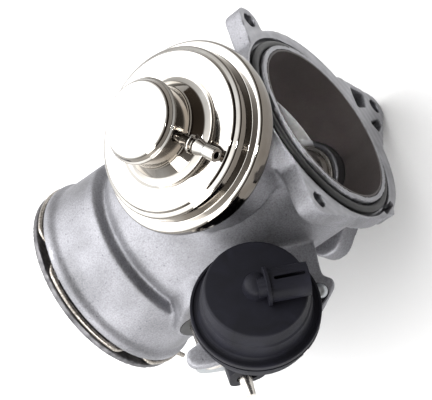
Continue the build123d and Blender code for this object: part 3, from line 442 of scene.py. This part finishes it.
# Turned and ground steel: bright, with fine grinding marks and a light oil film.
turned_steel, tree, shader, place = finish("ground_steel", "bdb9b2", 1.0, 0.24)
marks = add(tree, "ShaderNodeTexNoise", {"Scale": per_mm(0.5), "Detail": 3.0}, {"Vector": place})
film = add(tree, "ShaderNodeTexNoise", {"Scale": per_mm(3.5), "Detail": 2.0}, {"Vector": place})
tone = add(tree, "ShaderNodeValToRGB", {"ramp": shades((0.3, "a5a09a"), (0.7, "cfcbc4"))},
           {"Fac": film.outputs["Fac"]})
rough = add(tree, "ShaderNodeMapRange", {"To Min": 0.17, "To Max": 0.33}, {"Value": marks.outputs["Fac"]})
relief = add(tree, "ShaderNodeBump", {"Strength": 0.15, "Distance": 0.04 * MM},
             {"Height": marks.outputs["Fac"]})
coat(tree, shader, tone.outputs["Color"], rough, relief)

# Heat-resisting valve steel: dull grey with faint temper clouds and a trace of soot.
valve_steel, tree, shader, place = finish("tempered_valve_steel", "7a7570", 1.0, 0.4)
temper = add(tree, "ShaderNodeTexNoise", {"Scale": per_mm(7.0), "Detail": 3.0}, {"Vector": place})
tone = add(tree, "ShaderNodeValToRGB", {"ramp": shades((0.3, "5f5b58"), (0.5, "7d7873"), (0.7, "86807a"))},
           {"Fac": temper.outputs["Fac"]})
rough = add(tree, "ShaderNodeMapRange", {"To Min": 0.33, "To Max": 0.5}, {"Value": temper.outputs["Fac"]})
coat(tree, shader, tone.outputs["Color"], rough)

# Sintered bronze: warm brown-gold, dull, with open pores.
bronze, tree, shader, place = finish("sintered_bronze", "9a7444", 1.0, 0.45)
pores = add(tree, "ShaderNodeTexVoronoi", {"Scale": per_mm(0.6)}, {"Vector": place})
tone = add(tree, "ShaderNodeValToRGB", {"ramp": shades((0.1, "5c4222"), (0.4, "a27c4b"))},
           {"Fac": pores.outputs["Distance"]})
relief = add(tree, "ShaderNodeBump", {"Strength": 0.4, "Distance": 0.08 * MM},
             {"Height": pores.outputs["Distance"]})
coat(tree, shader, tone.outputs["Color"], None, relief)

# Zinc-plated steel: pale blue-grey, softly bright, with a faint crystal mottle.
zinc_steel, tree, shader, place = finish("zinc_plated_steel", "9a9da0", 1.0, 0.4)
crystals = add(tree, "ShaderNodeTexVoronoi", {"Scale": per_mm(0.7), "feature": "SMOOTH_F1"},
               {"Vector": place})
tone = add(tree, "ShaderNodeValToRGB", {"ramp": shades((0.1, "929598"), (0.6, "a1a4a6"))},
           {"Fac": crystals.outputs["Distance"]})
rough = add(tree, "ShaderNodeMapRange", {"To Min": 0.36, "To Max": 0.46},
            {"Value": crystals.outputs["Distance"]})
coat(tree, shader, tone.outputs["Color"], rough)

# Nickel-chrome plating over pressed steel: mirror bright on top, with painted shade that makes it warmer and
# darker down the walls and in the creases, and a faint orange peel from the pressing and hazy finger smears.
bright_chrome, tree, shader, place = finish("nickel_chrome_plate", "a9a6a1", 1.0, 0.08)
peel = add(tree, "ShaderNodeTexNoise", {"Scale": per_mm(5.0), "Detail": 1.0}, {"Vector": place})
smear = add(tree, "ShaderNodeTexNoise", {"Scale": per_mm(11.0), "Detail": 5.0, "Distortion": 0.6},
            {"Vector": place})
edge = add(tree, "ShaderNodeNewGeometry").outputs["Pointiness"]
slope = add(tree, "ShaderNodeSeparateXYZ", {}, {"Vector": add(tree, "ShaderNodeTexCoord").outputs["Normal"]})
tone = add(tree, "ShaderNodeValToRGB", {"ramp": shades((0.35, "a9a59f"), (0.65, "b8b6b2"))},
           {"Fac": smear.outputs["Fac"]})
# Painted shade: the plating is painted darker and warmer as its faces turn from up to sideways.
wall_shade = add(tree, "ShaderNodeValToRGB", {"ramp": shades((0.0, "928c86"), (0.45, "a6a19b"), (0.9, "ffffff"))},
            {"Fac": slope.outputs["Z"]})
wall_shaded = add(tree, "ShaderNodeMix", TIMES, {6: tone.outputs["Color"], 7: wall_shade.outputs["Color"]})
# Painted shade in the creases of the pressed shells.
hollow_shade = add(tree, "ShaderNodeMapRange", {"From Min": 0.44, "From Max": 0.49, "To Min": 0.35},
             {"Value": edge})
plated = add(tree, "ShaderNodeMix", TIMES, {6: wall_shaded.outputs[2], 7: hollow_shade.outputs["Result"]})
rough = add(tree, "ShaderNodeMapRange", {"From Min": 0.35, "From Max": 0.7, "To Min": 0.05, "To Max": 0.13},
            {"Value": smear.outputs["Fac"]})
relief = add(tree, "ShaderNodeBump", {"Strength": 0.08, "Distance": 0.1 * MM},
             {"Height": peel.outputs["Fac"]})
coat(tree, shader, plated.outputs[2], rough, relief)

# Rolled aluminium sheet: pale, with straight fine rolling lines along the flap.
rolled_aluminium, tree, shader, place = finish("rolled_aluminium_sheet", "bcbdc0", 1.0, 0.32)
drawn_out = add(tree, "ShaderNodeMapping", {"Scale": (0.06, 1.0, 1.0)}, {"Vector": place})
roll = add(tree, "ShaderNodeTexNoise", {"Scale": per_mm(0.5), "Detail": 3.0},
           {"Vector": drawn_out.outputs["Vector"]})
tone = add(tree, "ShaderNodeValToRGB", {"ramp": shades((0.3, "a6a7aa"), (0.7, "cbccce"))},
           {"Fac": roll.outputs["Fac"]})
rough = add(tree, "ShaderNodeMapRange", {"To Min": 0.25, "To Max": 0.4}, {"Value": roll.outputs["Fac"]})
relief = add(tree, "ShaderNodeBump", {"Strength": 0.2, "Distance": 0.04 * MM},
             {"Height": roll.outputs["Fac"]})
coat(tree, shader, tone.outputs["Color"], rough, relief)

# Glass-filled nylon, moulded: black with a slight blue-grey bloom and the cloudy dry surface
# that short fibres leave.
black_nylon, tree, shader, place = finish(
    "moulded_glass_filled_nylon", "13131a", 0.0, 0.55, **{"IOR": 1.5, "Specular IOR Level": 0.12})
fibre = add(tree, "ShaderNodeTexNoise", {"Scale": per_mm(0.45), "Detail": 4.0, "Roughness": 0.7},
            {"Vector": place})
flow = add(tree, "ShaderNodeTexNoise", {"Scale": per_mm(9.0), "Detail": 3.0, "Distortion": 1.2},
           {"Vector": place})
tone = add(tree, "ShaderNodeValToRGB", {"ramp": shades((0.3, "0e0e13"), (0.6, "13131a"), (0.8, "191921"))},
           {"Fac": flow.outputs["Fac"]})
rough = add(tree, "ShaderNodeMapRange", {"From Min": 0.3, "From Max": 0.7, "To Min": 0.50, "To Max": 0.66},
            {"Value": fibre.outputs["Fac"]})
relief = add(tree, "ShaderNodeBump", {"Strength": 0.25, "Distance": 0.06 * MM},
             {"Height": fibre.outputs["Fac"]})
coat(tree, shader, tone.outputs["Color"], rough, relief)

FINISHES = {
    "cast_aluminium": cast_aluminium, "dark_lining": dark_lining, "seal_rubber": seal_rubber,
    "spring_wire": spring_wire, "turned_steel": turned_steel, "valve_steel": valve_steel,
    "bronze": bronze, "zinc_steel": zinc_steel, "can_chrome": bright_chrome,
    "flap_aluminium": rolled_aluminium, "black_nylon": black_nylon,
}
slots = {row["node"]: row["material_slot"] for row in frame["record"]["subparts"]}
bodies = {node: body for body, nodes in frame["record"]["behaviour"]["bodies"].items() for node in nodes}


def stands_for(piece, node):
    """The piece takes a CAD node's place, body and finish."""
    piece.data.materials.clear()
    piece.data.materials.append(FINISHES[slots[node]])
    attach(piece, bodies[node])
    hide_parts(node)
    return piece


# ---- casting: the CAD solid with its seams run together like a sand casting ----------------------
def near(value, low, high):
    """0 below low, 1 above high, and a straight ramp between."""
    return min(max((value - low) / (high - low), 0.0), 1.0)


def cast_share(point):
    """How far a point of the casting is from every machined surface, from 0 to 1."""
    x, y, z = point / MM
    radius = math.hypot(y, z)
    from_can = math.hypot(x - CAN_X, y)
    from_shaft = math.hypot(x - SHAFT_X, z)
    shares = [
        near(FACE_X - x, 0.4, 2.2),
        near(x, -PIPE_L + RIM_L, -PIPE_L + RIM_L + 1),
        near(z - PORT_FACE, 0.5, 1.8),
    ]
    if x > SOCKET_X:
        shares.append(near(radius, BORED_R, BORED_R + 1.2))
    else:
        shares.append(near(radius, SOCKET_BORED_R + 0.2, SOCKET_BORED_R + 1.8))
    if x > FACE_X - SEAL_GROOVE_T - 0.8:
        shares.append(near(abs(radius - SEAL_R), 2.6, 3.4))
    for ear_y, ear_z in EARS:
        shares.append(near(math.hypot(y - ear_y, z - ear_z), BOLT_R + 0.5, BOLT_R + 1.4))
    if z < PORT_TOP:
        shares.append(near(from_can, SEAT_RING_R - 0.5, SEAT_RING_R + 0.6))
    if from_can < SEAT_R + 1 and z > SEAT_Z - 3:
        shares.append(near(SEAT_Z - z, 0.5, 1.5))
    share = min(shares)
    if abs(y) > BOSS_Y - 2.5 and from_shaft < BOSS_R + 1.5:
        share *= near(from_shaft, SHAFT_SEAL_R + 0.4, SHAFT_SEAL_R + 1.2)
    return share


def in_bolt_hole(x, y, z):
    """Whether a place on the casting is on the wall of a bolt hole in the flange's ears."""
    through = x > FACE_X - FLANGE_T - 1
    return through and any(math.hypot(y - ear_y, z - ear_z) < BOLT_R + 0.15 for ear_y, ear_z in EARS)


def casting_finish(face):
    """Slot of a face's finish: 0 cast, 1 faced, 2 deep bore painted light, 3 darker round the inlet rim."""
    x, y, z = face.center / MM
    radius = math.hypot(y, z)
    if radius > SOCKET_BORED_R and x < -PIPE_L + RIM_W + GROOVE_W:
        return 3
    # The deep bore takes the finish painted light grey for the light that reaches into it.
    if radius < BORED_R and SOCKET_X - 0.5 < x < -LINER_L + 1:
        return 2
    bolting_face = x > FACE_X - SEAL_GROOVE_T - 0.4 and face.normal.x > 0.9 or x > FACE_X + 0.2
    bored = radius < BORED_R or (radius < SOCKET_BORED_R and x < SOCKET_X + 0.5)
    port_face = z < PORT_FACE + 0.4 and face.normal.z < -0.9
    can_seat = z > SEAT_Z - 0.4 and face.normal.z > 0.9
    return 1 if bolting_face or bored or port_face or can_seat or in_bolt_hole(x, y, z) else 0


source = frame["nodes"]["housing"].data.copy()
build = bmesh.new()
build.from_mesh(source)
bmesh.ops.remove_doubles(build, verts=build.verts, dist=2e-6)
build.to_mesh(source)
build.free()
casting = bpy.data.objects.new("cast_housing", source)
bpy.context.scene.collection.objects.link(casting)
voxels = casting.modifiers.new("voxels", "REMESH")
voxels.mode = "VOXEL"
voxels.voxel_size = CAST_VOXEL * MM
with_modifiers(casting)
blends = casting.vertex_groups.new(name="cast_skin")
for vert in casting.data.vertices:
    weight = cast_share(vert.co)
    if weight > 0:
        blends.add([vert.index], weight, "REPLACE")
smooth = casting.modifiers.new("sand_blends", "SMOOTH")
smooth.vertex_group = "cast_skin"
smooth.factor = 0.5
smooth.iterations = BLEND_STEPS
with_modifiers(casting)
casting.data.shade_smooth()
casting.data.set_sharp_from_angle(angle=math.radians(50))
stands_for(casting, "housing")
for extra in (faced_aluminium, bore_painted_light, rim_darker_aluminium):
    casting.data.materials.append(extra)
for face in casting.data.polygons:
    face.material_index = casting_finish(face)

# ---- vacuum can ----------------------------------------------------------------------------------
half = SHELL_T / 2
upper = wall_section(
    [
        (NECK_R - half, NECK_TOP), (NECK_R - half, NECK_FOOT), (NECK_R + 2.4, SHOULDER_CREST + 0.5),
        (NECK_R + 4.6, SHOULDER_HOLLOW), (NECK_R + 6.2, SHOULDER_CREST),
        (BELL_R - 1.85, SHOULDER_CREST - 0.3), (BELL_R - 1.4, SHOULDER_CREST - 1.1),
        (BELL_R, SHOULDER_CREST - 1.8), (BELL_R, CLAMP_TOP + half),
        (CAN_R - half, CLAMP_TOP + half), (CAN_R - half, RIM_Z - 2 * SHELL_T),
    ],
    SHELL_T, [3.5, 2.0, 1.2, 1.6, 0.5, 0.6, 0.7, 0.7, 0.8],
)
stands_for(turned("can_bell", [upper], CAN_FRAME, 256), "can_upper_shell")
lower = wall_section(
    [
        (STEM_SEAL_R + 0.03, SEAT_Z + half), (SHELL_R - half, SEAT_Z + half),
        (SHELL_R - half, RIM_Z - half), (CAN_R - 1, RIM_Z - half),
    ],
    SHELL_T, [2.2, 0.5],
)
stands_for(turned("can_pan", [lower], CAN_FRAME, 256), "can_lower_shell")
cap = rounded(
    [
        (0, NECK_TOP + 0.03), (0, CAP_TOP + 0.3), (CAP_R * 0.55, CAP_TOP + 0.25),
        (CAP_R - 1.4, CAP_TOP - 0.2), (CAP_R - 0.7, CAP_TOP - 2.2), (CAP_R, CAP_TOP - 2.7),
        (CAP_R, CAP_TOP - 3.3), (NECK_R + 0.2, CAP_TOP - 3.8), (NECK_R + 0.03, CAP_TOP - 3.8),
        (NECK_R + 0.03, NECK_TOP + 0.03),
    ],
    [0, 0, 14.0, 1.6, 0.4, 0.3, 0.3, 0, 0, 0],
)
stands_for(turned("can_cap_dome", [cap], CAN_FRAME, 256), "can_cap")
turn = math.radians(NIPPLE_ANGLE)
NIPPLE_FRAME = Matrix.Translation((CAN_X, 0, NIPPLE_Z)) @ Matrix((
    (0, -math.sin(turn), math.cos(turn), 0), (0, math.cos(turn), math.sin(turn), 0), (-1, 0, 0, 0),
    (0, 0, 0, 1),
))
root = NECK_R - SHELL_T
nipple = rounded(
    [
        (NIPPLE_BORE_R, root), (NIPPLE_R, root), (NIPPLE_R - 0.3, 15.5), (NIPPLE_R + 0.9, 15.9),
        (NIPPLE_R + 0.9, 16.9), (NIPPLE_R - 0.3, 17.1), (NIPPLE_R + 0.5, 18.6), (NIPPLE_R + 0.5, 19.2),
        (NIPPLE_R - 0.3, 21.8), (NIPPLE_R, 22.3), (NIPPLE_R, NIPPLE_REACH), (NIPPLE_BORE_R, NIPPLE_REACH),
    ],
    [0, 0, 0.3, 0.25, 0.25, 0.3, 0.25, 0.25, 0.3, 0.2, 0.25, 0.2], steps=4,
)
stands_for(turned("hose_nipple", [nipple], NIPPLE_FRAME, 64), "can_nipple")

# ---- manifold end --------------------------------------------------------------------------------
cord = [
    (SEAL_R + SEAL_CORD_R * math.cos(math.tau * k / 28), FACE_X + SEAL_CORD_R - SEAL_GROOVE_T
     + SEAL_CORD_R * math.sin(math.tau * k / 28)) for k in range(28)
]
stands_for(turned("manifold_seal", [cord], PIPE_FRAME, 256, 60), "manifold_o_ring")


# ---- wire clip -----------------------------------------------------------------------------------
def on_clip(angle, extra=0.0):
    """Point of the clip's centre line: round the groove, with a dip through each slot."""
    radius = CLIP_R + extra
    for slot in CLIP_SLOTS:
        if abs(angle - slot) < CLIP_HALF:
            radius -= CLIP_DIP * (1 + math.cos(math.pi * (angle - slot) / CLIP_HALF)) / 2
    turn = math.radians(angle)
    return (-PIPE_L + RIM_W + GROOVE_W / 2, radius * math.cos(turn), radius * math.sin(turn))


clip_steps = 220
clip_path = [on_clip(CLIP_START - 4, CLIP_TAIL)]
clip_path += [on_clip(CLIP_START + (CLIP_END - CLIP_START) * k / clip_steps) for k in range(clip_steps + 1)]
clip_path += [on_clip(CLIP_END + 4, CLIP_TAIL)]
stands_for(swept("wire_clip", clip_path, WIRE_R), "retaining_clip")

# ---- vacuum actuator -----------------------------------------------------------------------------
seam_top = -POT_RIM_T
cover = rounded(
    [
        (1.1, POT_FACE_H), (POT_FACE_R, POT_FACE_H), (POT_FACE_R + 0.7, POT_STEP_H + 0.4),
        (POT_FACE_R + 1.2, POT_STEP_H - 0.3), (POT_SHOULDER_R, 0.8), (POT_SHOULDER_R + 0.7, -0.5),
        (POT_R - 1.0, -0.5), (POT_R - 0.9, 0), (POT_R, 0), (POT_R, seam_top),
        (POT_SHOULDER_R - POT_WALL, seam_top), (POT_FACE_R - POT_WALL, POT_FACE_H - POT_WALL),
        (1.1, POT_FACE_H - POT_WALL),
    ],
    [0, 0.9, 0.4, 0.4, 0.7, 0.3, 0.1, 0.1, 0.35, 0.2, 0.1, 0.5, 0],
)
stands_for(turned("pot_cover", [cover], POT_FRAME, 192), "actuator_cover")
stands_for(softened("actuator_base", "pot_base", 0.3), "actuator_base")
stands_for(softened("actuator_elbow", "pot_elbow", 0.35), "actuator_elbow")

# ---- turned and pressed small pieces: their edges are broken -------------------------------------
for node, name, width in (
    ("bore_liner", "bore_lining", 0.15), ("valve_seat", "seat_ring", 0.2), ("valve_poppet", "poppet", 0.3),
    ("valve_stem", "stem", 0.15), ("stem_guide", "guide_bush", 0.2), ("stem_seal", "stem_packing", 0.2),
    ("diaphragm_plate", "can_plate", 0.2), ("stem_nut", "can_nut", 0.25), ("can_screws", "can_fixings", 0.3),
    ("flap_shaft", "throttle_shaft", 0.3), ("throttle_flap", "throttle_plate", 0.25),
    ("flap_screws", "plate_fixings", 0.3), ("flap_bush_near", "near_bush", 0.2),
    ("flap_bush_far", "far_bush", 0.2), ("shaft_seal", "shaft_packing", 0.2), ("shaft_plug", "end_plug", 0.4),
    ("crank_lever", "crank", 0.35), ("crank_pin", "crank_stud", 0.3), ("actuator_plate", "pot_plate", 0.2),
    ("actuator_rod", "pull_wire", 0.2), ("rod_nut", "pot_nut", 0.2), ("rod_yoke", "yoke", 0.35),
    ("arm_screws", "pot_fixings", 0.15),
):
    stands_for(softened(node, name, width), node)


valve_spring = stands_for(softened("can_spring", "valve_spring", 0.05), "can_spring")
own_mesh(valve_spring)
pot_spring = stands_for(softened("actuator_spring", "pot_spring", 0.05), "actuator_spring")
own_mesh(pot_spring)


def stretched(node, name):
    """Rubber diaphragm: a softened copy of its CAD node with its finish, baked in place and left without a
    body.
    """
    piece = softened(node, name, 0.05)
    piece.data.materials.clear()
    piece.data.materials.append(FINISHES[slots[node]])
    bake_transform(piece)
    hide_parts(node)


stretched("can_diaphragm", "can_rubber")
stretched("actuator_diaphragm", "pot_rubber")

# ---- studio --------------------------------------------------------------------------------------
scene = bpy.context.scene
floor_mesh = bpy.data.meshes.new("studio_floor")
FLOOR_REACH = 3.0       # metres from the middle to each side
floor_z = cad_box[0].z - 0.5 * MM
corners = [(x * FLOOR_REACH, y * FLOOR_REACH, floor_z) for x, y in ((-1, -1), (1, -1), (1, 1), (-1, 1))]
floor_mesh.from_pydata(corners, [], [(0, 1, 2, 3)])
floor = bpy.data.objects.new("studio_floor", floor_mesh)
scene.collection.objects.link(floor)
floor_paint = finish("pale_backdrop_paper", "c8c8c8", 0.0, 0.9)[0]
floor_mesh.materials.append(floor_paint)

# The air is brightest up and to the left and falls off smoothly to a dim warm horizon, so that polished
# plating runs through every tone from white to brown.
BRIGHT_WAY = (-0.5, 0.2, 0.843)
AIR = (
    (0.35, (0.008, 0.006, 0.0045, 1)), (0.5, (0.035, 0.028, 0.022, 1)), (0.62, (0.13, 0.125, 0.12, 1)),
    (0.75, (0.35, 0.35, 0.35, 1)), (0.88, (0.8, 0.8, 0.8, 1)), (1.0, (1, 1, 1, 1)),
)
world = bpy.data.worlds.new("studio_air")
scene.world = world
world.use_nodes = True
air = world.node_tree
gaze = add(air, "ShaderNodeTexCoord").outputs["Generated"]
towards = add(air, "ShaderNodeVectorMath", {"operation": "DOT_PRODUCT", 1: BRIGHT_WAY}, {0: gaze})
share = add(air, "ShaderNodeMapRange", {"From Min": -1.0, "From Max": 1.0},
            {"Value": towards.outputs["Value"]})
glow = add(air, "ShaderNodeValToRGB", {"ramp": AIR}, {"Fac": share.outputs["Result"]})
air.links.new(glow.outputs["Color"], air.nodes["Background"].inputs["Color"])
air.nodes["Background"].inputs["Strength"].default_value = 3.6


def soft_box(name, place, target, width, height, power):
    """Rectangular soft light at a place, in millimetres, facing a target."""
    lamp = bpy.data.lights.new(name, "AREA")
    lamp.shape = "RECTANGLE"
    lamp.size, lamp.size_y = width * MM, height * MM
    lamp.energy = power
    holder = bpy.data.objects.new(name, lamp)
    holder.location = Vector(place) * MM
    holder.rotation_euler = (Vector(target) - Vector(place)).to_track_quat("-Z", "Y").to_euler()
    scene.collection.objects.link(holder)
    return holder


middle = (-45, 0, 10)
soft_box("overhead_box", (-300, 200, 680), middle, 800, 900, 6.0)
soft_box("front_box", (-240, -600, 260), middle, 300, 500, 5.0)
bore_spot = soft_box("bore_spot", (260, -200, 365), (-30, 15, -20), 50, 50, 0.006)
bore_spot.data.spread = math.radians(8)

# ---- camera --------------------------------------------------------------------------------------
CAMERA_PLACE = (175.902, -233.658, 393.335)
CAMERA_RIGHT = (0.7289, -0.31811, -0.606227)
CAMERA_UP = (0.523523, 0.829599, 0.194139)
FOCAL_PX = 1496.59      # focal length, in pixels of a frame FRAME_W_PX wide
FRAME_W_PX = 432
SENSOR_W = 36.0
right = Vector(CAMERA_RIGHT)
back = right.cross(Vector(CAMERA_UP)).normalized()
up = back.cross(right.normalized())
lens = bpy.data.cameras.new("product_camera")
lens.sensor_width = SENSOR_W
lens.lens = FOCAL_PX * SENSOR_W / FRAME_W_PX
lens.clip_start = 0.01
camera = bpy.data.objects.new("product_camera", lens)
turned_to = Matrix((right.normalized(), up, back)).transposed().to_4x4()
camera.matrix_world = Matrix.Translation(Vector(CAMERA_PLACE) * MM) @ turned_to
scene.collection.objects.link(camera)
scene.camera = camera
scene.view_settings.view_transform = "Standard"
